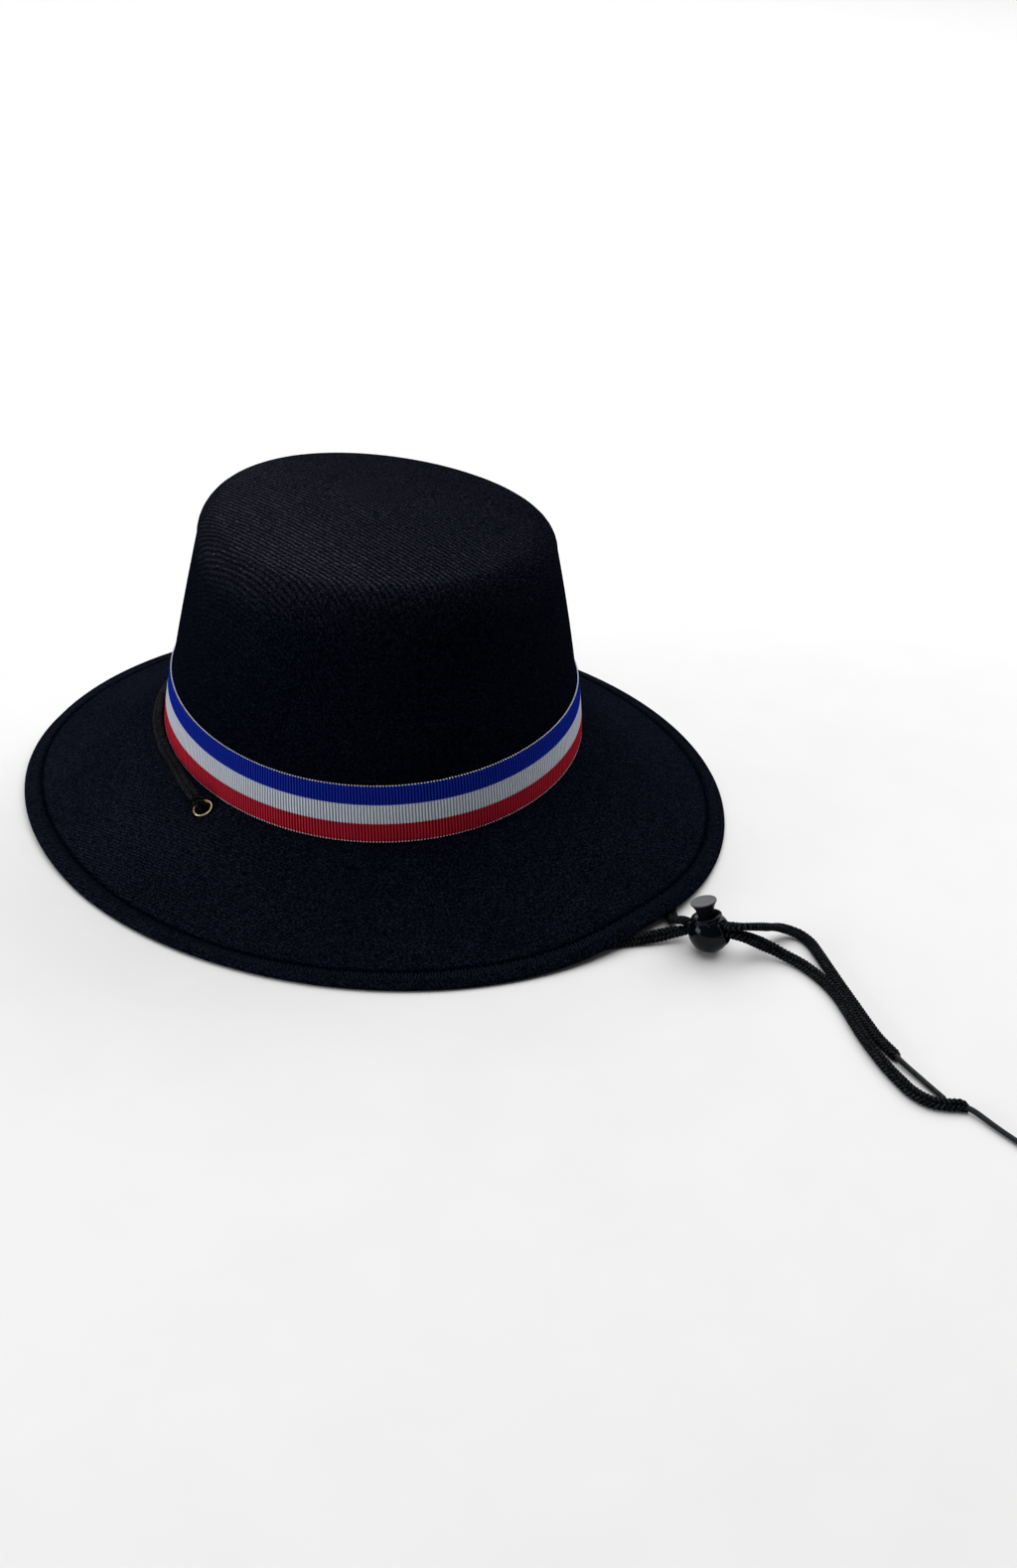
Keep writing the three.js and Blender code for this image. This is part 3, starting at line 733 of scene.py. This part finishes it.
def smooth_route(points, step):
    """Draws one smooth curve through the points and gives a point on it every step."""
    points = np.array(points, float)
    points = np.concatenate([[2 * points[0] - points[1]], points, [2 * points[-1] - points[-2]]])
    fine = []
    for a, b, c, d in zip(points, points[1:], points[2:], points[3:]):
        knots = np.cumsum([0] + [math.sqrt(np.linalg.norm(q - p)) for p, q in ((a, b), (b, c), (c, d))])
        t = np.linspace(knots[1], knots[2], 40, endpoint=False)[:, None]
        lines = [((knots[i + 1] - t) * p + (t - knots[i]) * q) / (knots[i + 1] - knots[i])
                 for i, (p, q) in enumerate(((a, b), (b, c), (c, d)))]
        bends = [((knots[i + 2] - t) * lines[i] + (t - knots[i]) * lines[i + 1]) / (knots[i + 2] - knots[i])
                 for i in range(2)]
        fine.append(((knots[2] - t) * bends[0] + (t - knots[1]) * bends[1]) / (knots[2] - knots[1]))
    fine = np.concatenate(fine + [points[-2:-1]])
    reach = np.concatenate([[0], np.cumsum(np.linalg.norm(np.diff(fine, axis=0), axis=1))])
    places = np.linspace(0, reach[-1], max(2, round(reach[-1] / step) + 1))
    return np.stack([np.interp(places, reach, fine[:, i]) for i in range(3)], -1), places


def keep_upright(path, ups):
    """Turns each section's top towards its up direction, and carries it on where the cord stands on end."""
    tangents = np.gradient(path, axis=0)
    tangents /= np.linalg.norm(tangents, axis=1, keepdims=True)
    tops = ups - (ups * tangents).sum(1)[:, None] * tangents
    sure = np.linalg.norm(tops, axis=1) > 0.6
    order = list(range(1, len(path)))
    for indices, back in ((order, 1), (order[::-1], -1)):
        for i in indices:
            here, before = (i, i - 1) if back == 1 else (i - 1, i)
            if not sure[here] and sure[before]:
                tops[here] = tops[before] - (tops[before] @ tangents[here]) * tangents[here]
                sure[here] = True
    tops /= np.linalg.norm(tops, axis=1, keepdims=True)
    return tangents, tops


def plait(name, route, up, lock=None, turns=((0, 0), (1, 0))):
    """Sweeps the two-lobed, herringbone section of the braid along a route.

    Where it passes through a lock it is pressed narrow, and on each side of that it is loose and wide.
    Its turns are given as millimetres past the lock and degrees. The braid lies on the table where its
    route is low, and its end is drawn in round its tip.
    """
    path, along = smooth_route(route, CORD_STEP)
    ups = np.array([up(p) for p in path])
    from_lock = np.linalg.norm(path - (lock or path[0]), axis=1)
    roll = np.radians(np.interp((along - along[from_lock.argmin()]) / MM, *np.array(turns, float).T))
    tangents, tops = keep_upright(path, ups)
    sideways = np.cross(tangents, tops)
    tops, sideways = (
        tops * np.cos(roll)[:, None] + sideways * np.sin(roll)[:, None],
        sideways * np.cos(roll)[:, None] - tops * np.sin(roll)[:, None],
    )
    width, thickness = np.full(len(path), CORD_HALF_WIDTH), np.full(len(path), CORD_HALF_THICKNESS)
    if lock:
        pressed = np.clip((11 * MM - from_lock) / (2.5 * MM), 0, 1)
        loosened = np.clip(1 - np.abs(from_lock - 20 * MM) / (9 * MM), 0, 1)
        width += LOOSENED * loosened - PRESSED_WIDTH * pressed
        thickness -= PRESSED_THICKNESS * pressed
        end = 0.5 + 0.5 * np.clip((along[-1] - along) / (2.5 * MM), 0, 1) ** 0.5
        width *= end
        thickness *= end
        reach = np.hypot(width * np.sin(roll), thickness * np.cos(roll)) + 0.1 * MM
        path[:, 2] += np.clip((4.5 * MM - path[:, 2]) / (2.5 * MM), 0, 1) * (reach - 1.7 * MM)
    turn = np.arange(CORD_SIDES) * 2 * math.pi / CORD_SIDES
    furrow = 1 - FURROW_DEPTH * np.exp(-((np.cos(turn) / FURROW_WIDTH) ** 2))
    points = []
    for i, s in enumerate(along):
        phase = s / PLAIT_PITCH + PLAIT_SLANT * np.abs(np.cos(turn))
        lump = 1 + PLAIT_LUMP * (np.abs(np.sin(math.pi * phase)) - 0.7)
        across = width[i] * np.cos(turn) * lump
        upwards = thickness[i] * np.sin(turn) * furrow * lump
        points.append(path[i] + across[:, None] * sideways[i] + upwards[:, None] * tops[i])
    count = len(points)
    faces = []
    for here in range(0, (count - 1) * CORD_SIDES, CORD_SIDES):
        there = here + CORD_SIDES
        for j in range(CORD_SIDES):
            k = (j + 1) % CORD_SIDES
            faces.append((here + j, here + k, there + k, there + j))
    faces.append(tuple(range(CORD_SIDES))[::-1])
    faces.append(tuple(range((count - 1) * CORD_SIDES, count * CORD_SIDES)))
    piece = new_piece(name, points, faces)
    face_outwards(piece)
    braid_map = piece.data.uv_layers.new(name="braid")
    for polygon in piece.data.polygons:
        sides = [v % CORD_SIDES for v in polygon.vertices]
        for loop, v, side in zip(polygon.loop_indices, polygon.vertices, sides):
            share = side / CORD_SIDES
            if max(sides) - side > CORD_SIDES / 2:
                share += 1
            braid_map.data[loop].uv = (share, along[v // CORD_SIDES] / PLAIT_PITCH)
    smooth(piece, 60)
    return piece, path, float(along[-1])


BACK_ROUTE = [
    (-170, 7.5, -0.8), (-170, 7.5, 2.5), (-171.5, 7.2, 4.9), (-175, 6, 4.6), (-180, 4.5, 2.8), (-187, 3.2, 1.8),
    (-196, 3.2, 1.6), (-210, 3.2, 1.6), (-225, 3.2, 1.6), (-240, 3.2, 1.6), (-255, 3.2, 1.6), (-270, 3.2, 1.6),
    (-285, 3.2, 1.6), (-300, 3.2, 1.6), (-315, 3.2, 1.6), (-330, 3.2, 1.6), (-344, 3.2, 1.6),
    (-353, 3.2, 1.8), (-360, 4.5, 2.8), (-365, 6, 4.6), (-368.5, 7.2, 4.9), (-370, 7.5, 2.5), (-370, 7.5, -0.8),
]
back_points = []
for degrees, out, height in BACK_ROUTE:
    angle = np.array(math.radians(degrees))
    share = out * MM / brim_width(angle)
    back_points.append(brim_point(angle, share) + height * MM * brim_normal(angle, share))


def brim_up(point):
    angle = np.array(math.atan2(point[1] / FOOT_SIZE[1], point[0] / FOOT_SIZE[0]))
    return brim_normal(angle, 0.05)


back_cord, back_path, back_length = plait("cord_round_back", back_points, brim_up)
braid, tree, shader = start_material("black_braid", Roughness=0.55, Specular_IOR_Level=0.02)
round_share, plait_along = map_in(tree, "braid")
round_angle = calculate(tree, "MULTIPLY", round_share, 2 * math.pi)
fold = calculate(tree, "ABSOLUTE", calculate(tree, "COSINE", round_angle))
phase = calculate(tree, "MULTIPLY_ADD", fold, PLAIT_SLANT, plait_along)
plait_line = calculate(tree, "ABSOLUTE", calculate(tree, "SINE", calculate(tree, "MULTIPLY", phase, math.pi)))
strand_line = ridges(tree, calculate(tree, "MULTIPLY_ADD", round_share, 26.0, plait_along), 1.0)
fleck = mottle(tree, object_place_in(tree), 1100.0, 3.0, 0.3, 0.7)
braid_height = calculate(tree, "MULTIPLY_ADD", strand_line, 0.4, calculate(tree, "MULTIPLY", plait_line, 0.35))
braid_tone = calculate(tree, "MULTIPLY_ADD", plait_line, 0.48, calculate(tree, "MULTIPLY", strand_line, 0.12))
braid_tone = calculate(tree, "MULTIPLY_ADD", fleck, 0.5, braid_tone)
# Painted shade: the braid's tone is darkened along the furrow between its two halves.
braid_furrow_shade = calculate(tree, "MINIMUM", calculate(tree, "MULTIPLY_ADD", fold, 2.2, 0.62), 1.0)
braid_tone = calculate(tree, "MULTIPLY", braid_tone, braid_furrow_shade)
braid_colour = colours(
    tree, braid_tone,
    (0.32, (0.0002, 0.0003, 0.0009)), (0.64, (0.0026, 0.0029, 0.0044)), (0.95, (0.036, 0.038, 0.044)),
)
finish_surface(tree, shader, braid_colour, calculate(tree, "MULTIPLY_ADD", fleck, 0.4, braid_height), 0.3 * MM)
back_cord.data.materials.append(braid)
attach(back_cord, "hat")
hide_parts("cord_round_crown")

# Chin cord
# The same braid goes down through each eyelet, under the brim and out in front on the table.
# Both ends pass through the spring lock and finish in a crimped tip.
LOCK_PLACE = (
    Matrix.Translation((0.0381, -0.1873, 0.0082))
    @ Matrix.Rotation(math.radians(-72), 4, "Z") @ Matrix.Rotation(math.radians(-17), 4, "Y")
)
RIGHT_BEFORE = [
    (-0.0916, -0.0187, 0.0175), (-0.0912, -0.019, 0.0125), (-0.094, -0.0215, 0.0072),
    (-0.0995, -0.027, 0.0034), (-0.1055, -0.036, 0.0018), (-0.1095, -0.049, 0.0017),
    (-0.109, -0.066, 0.0017), (-0.103, -0.086, 0.0017), (-0.0925, -0.105, 0.0017),
    (-0.078, -0.1215, 0.0017), (-0.06, -0.1355, 0.0017), (-0.04, -0.147, 0.0017),
    (-0.019, -0.1565, 0.0017), (0.001, -0.1635, 0.0017), (0.014, -0.168, 0.0017),
    (0.0205, -0.1708, 0.0019), (0.026, -0.173, 0.0026), (0.0308, -0.1752, 0.0039),
]
RIGHT_AFTER = [
    (0.0426, -0.1984, 0.0111), (0.0452, -0.2004, 0.0102), (0.0485, -0.2015, 0.0082),
    (0.0519, -0.2027, 0.006), (0.055, -0.205, 0.004), (0.0576, -0.2098, 0.0022),
    (0.0594, -0.218, 0.0017), (0.0592, -0.228, 0.0017), (0.0572, -0.2375, 0.0017),
    (0.0534, -0.2476, 0.0017), (0.0486, -0.2584, 0.0017), (0.0446, -0.2686, 0.0017),
    (0.0416, -0.278, 0.0017), (0.0393, -0.2872, 0.0017), (0.0381, -0.2956, 0.0017),
    (0.0396, -0.3026, 0.0017), (0.0432, -0.3068, 0.0017), (0.0464, -0.3094, 0.0017),
    (0.048, -0.312, 0.0017),
]
LEFT_BEFORE = [
    (0.0902, -0.0184, 0.025), (0.0893, -0.0186, 0.019), (0.0908, -0.0192, 0.0125),
    (0.0946, -0.0214, 0.007), (0.1004, -0.026, 0.0034), (0.1065, -0.034, 0.0018),
    (0.1108, -0.046, 0.0017), (0.1118, -0.061, 0.0017), (0.1086, -0.078, 0.0017),
    (0.101, -0.0955, 0.0017), (0.09, -0.1115, 0.0017), (0.077, -0.1255, 0.0017), (0.064, -0.138, 0.0017),
    (0.052, -0.1495, 0.0017), (0.0422, -0.1595, 0.0017), (0.0388, -0.1646, 0.0019),
    (0.0366, -0.1692, 0.0042), (0.0356, -0.1737, 0.007),
]
LEFT_AFTER = [
    (0.0421, -0.1973, 0.0146), (0.0447, -0.199, 0.0146), (0.0484, -0.1996, 0.0136),
    (0.0544, -0.199, 0.011), (0.0606, -0.1978, 0.0078), (0.0664, -0.1968, 0.0049),
    (0.0706, -0.198, 0.0028), (0.073, -0.2014, 0.0019), (0.073, -0.2074, 0.0017),
    (0.0706, -0.2144, 0.0017), (0.0666, -0.2244, 0.0017), (0.0624, -0.235, 0.0017),
    (0.0582, -0.246, 0.0017), (0.0542, -0.2564, 0.0017), (0.0508, -0.266, 0.0017),
    (0.0482, -0.2786, 0.0017),
]


def table_up(point):
    return np.array([0.0, 0.0, 1.0])


def chin_route(degrees, before, strand_height, after):
    start = [eyelet_place(degrees) @ Vector((0, 0, height * MM)) for height in (-1.1, -4)]
    inside = [LOCK_PLACE @ Vector((reach * MM, 0, strand_height * MM)) for reach in (-8.8, 0, 8.8)]
    return [tuple(p) for p in [*start, *before, *inside, *after]]


LOCK_MIDDLE = tuple(LOCK_PLACE.to_translation())
RIGHT_TURNS = (
    (-110, 0), (-60, 35), (-18, 50), (-9, 0), (9, 0), (18, 45), (40, 50), (60, 15), (100, 0), (118, 35),
    (140, 40),
)
LEFT_TURNS = ((-9, 0), (9, 0), (16, -35), (32, -30), (42, 15), (60, 0), (140, 0))
right_route = chin_route(-170, RIGHT_BEFORE, -0.1, RIGHT_AFTER)
left_route = chin_route(-10, LEFT_BEFORE, 3.4, LEFT_AFTER)
right_cord, right_path, right_length = plait(
    "chin_cord_right_side", right_route, table_up, LOCK_MIDDLE, RIGHT_TURNS,
)
left_cord, left_path, left_length = plait(
    "chin_cord_left_side", left_route, table_up, LOCK_MIDDLE, LEFT_TURNS,
)
for cord, node in ((right_cord, "chin_cord_right"), (left_cord, "chin_cord_left")):
    cord.data.materials.append(braid)
    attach(cord, "hat")
    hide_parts(node)

# Cord tips
# Each end of the cord is bound into a thin grey rod of hard plastic film, rolled tight round the braid.
# The rod is a little flattened where it was cut.
TIP_RADIUS = 1.05 * MM
TIP_ROUNDING = 0.8 * MM
TIP_FLATTENED = 0.25
TIP_SIDES = 16
tip_film = grained(
    "tip_film", 600.0, 5.0, (0.3, (0.006, 0.0065, 0.008)), (0.75, (0.026, 0.028, 0.032)), 0.08 * MM,
    Roughness=0.4, Specular_IOR_Level=0.08,
)


def tip(name, route):
    path, along = smooth_route(route, 0.5 * MM)
    from_ends = np.minimum(along, along[-1] - along) + 0.1 * MM
    radii = TIP_RADIUS * np.minimum(1, np.sqrt(np.maximum(from_ends, 0) / TIP_ROUNDING))
    piece = stack_rings(name, TIP_SIDES, [(float(r), float(r), float(z)) for r, z in zip(radii, along)])
    tangents, tops = keep_upright(path, np.array([table_up(p) for p in path]))
    sideways = np.cross(tops, tangents)
    shape = np.array([v.co for v in piece.data.vertices])
    for i in range(len(path)):
        ring = slice(i * TIP_SIDES, (i + 1) * TIP_SIDES)
        flat = 1 - TIP_FLATTENED * along[i] / along[-1]
        shape[ring] = path[i] + shape[ring, :1] * sideways[i] + shape[ring, 1:2] * flat * tops[i]
    piece.data.vertices.foreach_set("co", shape.ravel())
    close_ends(piece, TIP_SIDES)
    face_outwards(piece)
    piece.data.materials.append(tip_film)
    smooth(piece, 50)
    return piece


right_tip = tip("tip_right", [
    (0.0471, -0.3103, 0.0017), (0.0483, -0.3127, 0.0016), (0.0488, -0.3245, 0.0012), (0.0494, -0.337, 0.001),
])
left_tip = tip("tip_left", [
    (0.0488, -0.2765, 0.0017), (0.0481, -0.279, 0.0016), (0.0468, -0.2912, 0.0012), (0.0456, -0.3035, 0.001),
])
for end, node in ((right_tip, "cord_tip_right"), (left_tip, "cord_tip_left")):
    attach(end, "hat")
    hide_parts(node)

# Cord lock
# A moulded ball of glossy black plastic with a hole from side to side for both strands.
# A waisted grey button on a spring sits in its socket; pressed down, it frees the cord.
BALL_RADIUS = 8.2
LIP_RADIUS = 8.6
RIM_ANGLE = 41.94
RIM_STEPS = 32
LOCK_SIDES = 64


def turned(name, profile):
    """Makes a closed round solid from (radius, height) in millimetres, on the lock's own axis."""
    piece = stack_rings(name, LOCK_SIDES, [(r * MM, r * MM, z * MM) for r, z in profile])
    close_ends(piece, LOCK_SIDES)
    face_outwards(piece)
    return piece


def channel(width, low, high):
    """Makes a rod with a long round-ended section, which runs through the lock from side to side."""
    radius = width / 2
    bpy.ops.object.select_all(action="DESELECT")
    bpy.ops.mesh.primitive_cylinder_add(
        vertices=32, radius=radius * MM, depth=24 * MM, rotation=(0, math.pi / 2, 0),
    )
    rod = bpy.context.object
    bpy.ops.object.transform_apply(location=False, rotation=True, scale=False)
    for vertex in rod.data.vertices:
        if vertex.co.z > 1e-6:
            vertex.co.z += (high - radius) * MM
        elif vertex.co.z < -1e-6:
            vertex.co.z += (low + radius) * MM
    return rod


def soften(piece, width):
    bevel = piece.modifiers.new("soft edges", "BEVEL")
    bevel.width = width
    bevel.segments = 3
    bevel.limit_method = "ANGLE"
    bevel.angle_limit = math.radians(35)
    apply_all(piece)


ball_profile = []
for i in range(1, RIM_STEPS + 1):
    turn = math.radians(-90 + i * (90 + RIM_ANGLE) / RIM_STEPS)
    ball_profile.append((BALL_RADIUS * math.cos(turn), BALL_RADIUS * math.sin(turn)))
ball_profile += [(6.1, 6.6), (6.02, 6.9), (5.8, 7.12), (5.5, 7.2), (3, 7.2), (1, 7.2)]
lock_ball = turned("lock_ball", ball_profile)
lip = channel(5.8, -4.6, 6.1)
bpy.ops.object.select_all(action="DESELECT")
bpy.ops.mesh.primitive_uv_sphere_add(segments=LOCK_SIDES, ring_count=48, radius=LIP_RADIUS * MM)
cut(lip, bpy.context.object, "INTERSECT")
cut(lock_ball, lip, "UNION")
socket_profile = [(1, -6.1), (3.75, -6.1), (3.75, 6), (4.3, 6.5), (4.8, 6.8), (5, 8.2), (1, 8.2)]
cut(lock_ball, turned("socket", socket_profile))
cut(lock_ball, channel(4.2, -3.8, 5.3))
soften(lock_ball, 0.18 * MM)
lock_ball.data.transform(LOCK_PLACE)
ball_plastic = grained(
    "glossy_black_plastic", 260.0, 6.0, (0.3, (0.0003, 0.001, 0.0022)), (0.75, (0.0022, 0.004, 0.006)),
    0.05 * MM, 0.6, Roughness=0.1, Specular_IOR_Level=0.14,
)
lock_ball.data.materials.append(ball_plastic)
smooth(lock_ball, 35)
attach(lock_ball, "hat")
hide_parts("cord_lock_ball")

button_profile = [
    (1, -3.6), (3, -3.6), (3.25, -3.35), (3.25, 8), (3.3, 8.7), (3.45, 9.2), (3.7, 10), (4.05, 10.8),
    (4.45, 11.6), (4.9, 12.3), (5.12, 12.6), (5.2, 12.9), (5.15, 13.2), (4.95, 13.38), (4.6, 13.4),
    (4.2, 13.25), (3.4, 13.1), (1, 13.1),
]
lock_button = turned("lock_press_button", button_profile)
cut(lock_button, channel(3.8, -2, 7.5))
soften(lock_button, 0.15 * MM)
# Painted light: the button's top face is painted pale grey for the lamp above that lights it, and the rest of
# the button is near black.
top_face_heights = [(v.co.z / MM - 12.8) / 0.3 for v in lock_button.data.vertices]
paler_share = lock_button.data.attributes.new("top_face_painted_light", "FLOAT", "POINT")
paler_share.data.foreach_set("value", np.clip(top_face_heights, 0, 1))
lock_button.data.transform(LOCK_PLACE)
button_plastic, tree, shader = start_material("satin_grey_plastic", Roughness=0.3, Specular_IOR_Level=0.06)
handling = grain_of(tree, object_place_in(tree), 300.0, 6.0)
paleness = calculate(tree, "MULTIPLY_ADD", handling, 0.3, attribute_in(tree, "top_face_painted_light"))
button_colour = colours(
    tree, paleness,
    (0.1, (0.0025, 0.003, 0.005)), (0.3, (0.006, 0.0065, 0.01)), (1.1, (0.14, 0.142, 0.145)),
)
finish_surface(tree, shader, button_colour, handling, 0.08 * MM)
lock_button.data.materials.append(button_plastic)
smooth(lock_button, 35)
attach(lock_button, "lock_button")
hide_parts("cord_lock_button")

# Floor and light
# A plain white table top that runs out of sight, under one wide soft lamp,
# with two smaller ones low on the left and the right.
bpy.ops.object.select_all(action="DESELECT")
bpy.ops.mesh.primitive_plane_add(size=16, location=(0, 0, -0.0002))
floor = bpy.context.object
floor.name = "floor"
floor_paint = grained(
    "floor_paint", 30.0, 2.0, (0.0, (0.86, 0.86, 0.86)), (1.0, (0.9, 0.9, 0.9)), 0.1 * MM, 0.1,
    Roughness=0.9, Specular_IOR_Level=0.1,
)
floor.data.materials.append(floor_paint)

world = bpy.data.worlds.new("studio")
bpy.context.scene.world = world
world.use_nodes = True
world.node_tree.nodes["Background"].inputs["Color"].default_value = (1, 1, 1, 1)
world.node_tree.nodes["Background"].inputs["Strength"].default_value = 0.1
bpy.context.scene.view_settings.view_transform = "Standard"
for name, place, target, size, power in (
    ("ceiling_panel", (1.5, 2.1, 2.6), (1.5, 2.1, 0), (6.0, 6.5), 210),
    ("left_panel", (-1.3, 0.4, 0.36), (0, 0, 0.06), (0.8, 0.5), 7.4),
    ("right_panel", (1.15, 0.1, 0.75), (0, 0, 0.06), (0.8, 0.8), 4),
):
    bpy.ops.object.light_add(type="AREA", location=place)
    lamp = bpy.context.object
    lamp.name = name
    lamp.data.shape = "RECTANGLE"
    lamp.data.size, lamp.data.size_y = size
    lamp.data.energy = power
    lamp.rotation_euler = (Vector(target) - Vector(place)).to_track_quat("-Z", "Y").to_euler()
